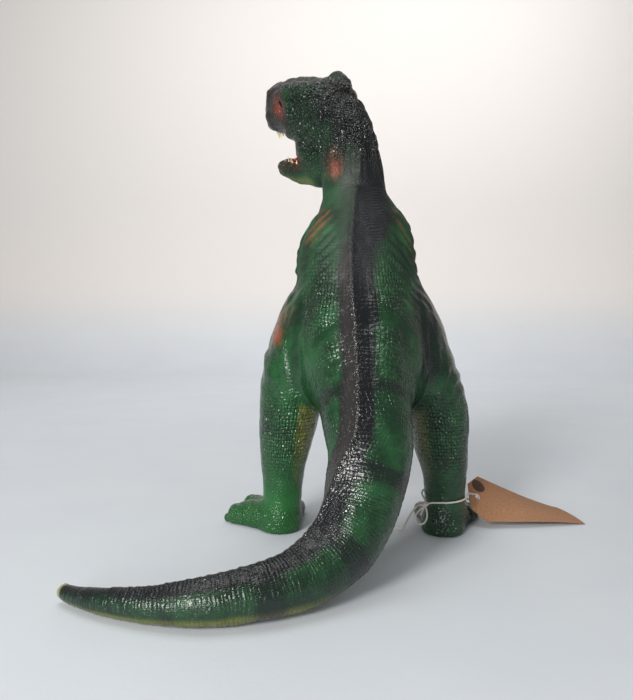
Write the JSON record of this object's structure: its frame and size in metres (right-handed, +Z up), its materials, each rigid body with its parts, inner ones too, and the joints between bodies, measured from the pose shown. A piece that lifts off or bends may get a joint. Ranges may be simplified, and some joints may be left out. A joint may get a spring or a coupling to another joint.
{
  "type": "stuffed dinosaur",
  "caption": "Upright stuffed vinyl dinosaur with a plug-in swivelling head, a long curled tail on the floor and a card hang tag tied to one ankle.",
  "frame": {"origin": "on the floor, under the middle of the outline of the object without its string", "axes": "+Z up; the dinosaur faces +Y, its right side is +X, and its tail lies towards -Y and curls to -X"},
  "size_m": [0.4334, 0.315, 0.4232],
  "materials": {
    "vinyl": "glossy soft vinyl, airbrushed green, charcoal, yellow-green and red",
    "plug_plastic": "plain moulded",
    "filling": "loose fibre wadding",
    "tooth_paint": "ivory paint, glossy",
    "mouth_paint": "dark red paint, glossy",
    "eye_paint": "amber and black paint, glossy",
    "card": "kraft brown card, matt",
    "sticker": "plain dark round sticker, satin",
    "string": "twisted cotton"
  },
  "bodies": {
    "body": {"torso_skin": "vinyl", "tail_skin": "vinyl", "left_leg_skin": "vinyl", "right_leg_skin": "vinyl", "left_arm": "vinyl", "right_arm": "vinyl", "neck_socket": "plug_plastic", "torso_filling": "filling", "tail_filling": "filling", "left_leg_filling": "filling", "right_leg_filling": "filling", "tag_string": "string", "string_knot": "string"},
    "head": {"head_skin": "vinyl", "neck_plug": "plug_plastic", "head_filling": "filling", "upper_teeth": "tooth_paint", "lower_teeth": "tooth_paint", "tongue": "mouth_paint", "left_eye": "eye_paint", "right_eye": "eye_paint"},
    "tag": {"tag_card": "card", "tag_sticker": "sticker"}
  },
  "joints": [
    {"name": "head_swivel", "type": "hinge", "parent": "body", "child": "head", "pos_m": [-0.0026, 0.0627, 0.31], "axis": [0, 0, 1], "range_deg": [-138, 42]},
    {"name": "tag_flip", "type": "hinge", "parent": "body", "child": "tag", "pos_m": [0.11701, 0.08128, 0.02341], "axis": [-0.0058, -0.7857, -0.6186], "range_deg": [0, 20]}
  ]
}
